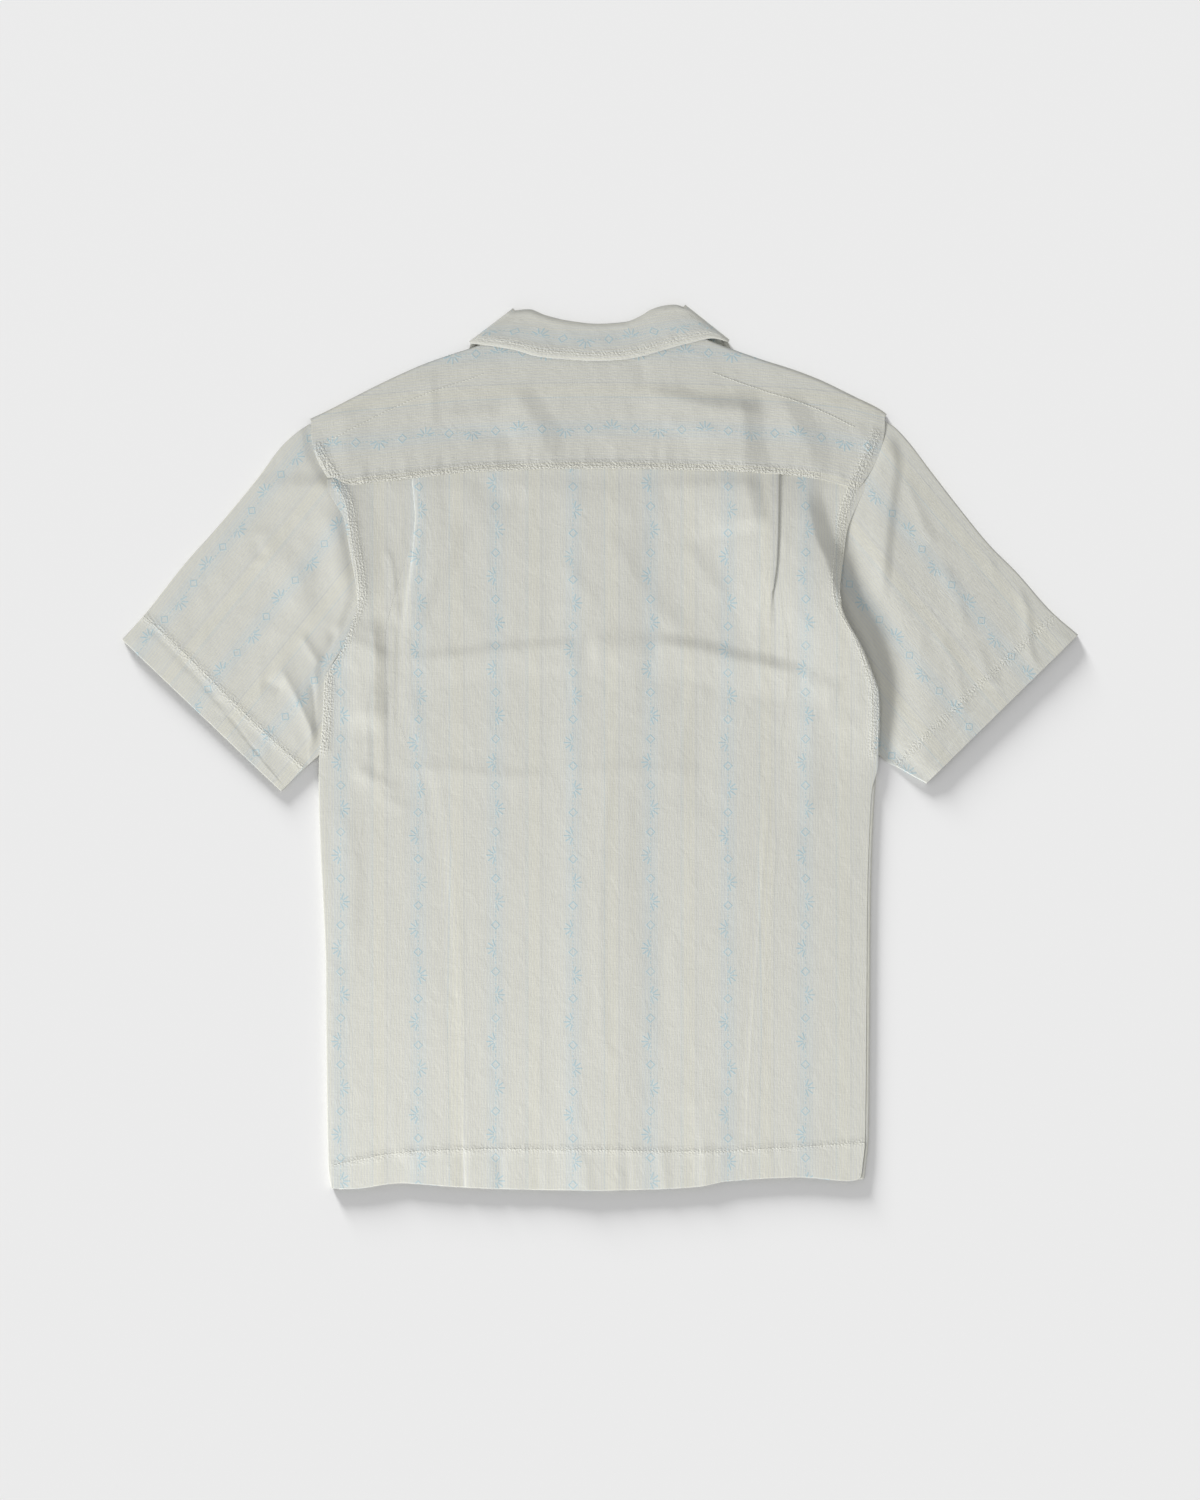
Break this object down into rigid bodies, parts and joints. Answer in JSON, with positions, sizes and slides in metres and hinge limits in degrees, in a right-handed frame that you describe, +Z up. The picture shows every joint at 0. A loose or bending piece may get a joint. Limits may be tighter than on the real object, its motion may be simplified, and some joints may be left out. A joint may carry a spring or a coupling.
{
  "type": "camp collar shirt",
  "caption": "Short-sleeved camp collar shirt laid flat face down: yoke, pleated back, open collar and lapels underneath, buttoned front.",
  "frame": {"origin": "centre of the shirt's outline on the surface it lies on", "axes": "+Z up out of the surface, the shirt's back facing it; +Y from the hem to the collar; +X across, towards the wearer's right sleeve"},
  "size_m": [0.832, 0.7702, 0.0106],
  "materials": {
    "cloth": "matt, off-white woven cloth with pale blue figured stripes",
    "button": "semi-gloss, pearly off-white"
  },
  "bodies": {
    "root": {"back": "cloth", "yoke": "cloth", "front_left": "cloth", "front_right": "cloth", "sleeve_left": "cloth", "sleeve_right": "cloth", "collar": "cloth", "facing_left": "cloth", "facing_right": "cloth", "button_1": "button", "button_2": "button", "button_3": "button", "button_4": "button", "button_5": "button"}
  },
  "joints": []
}
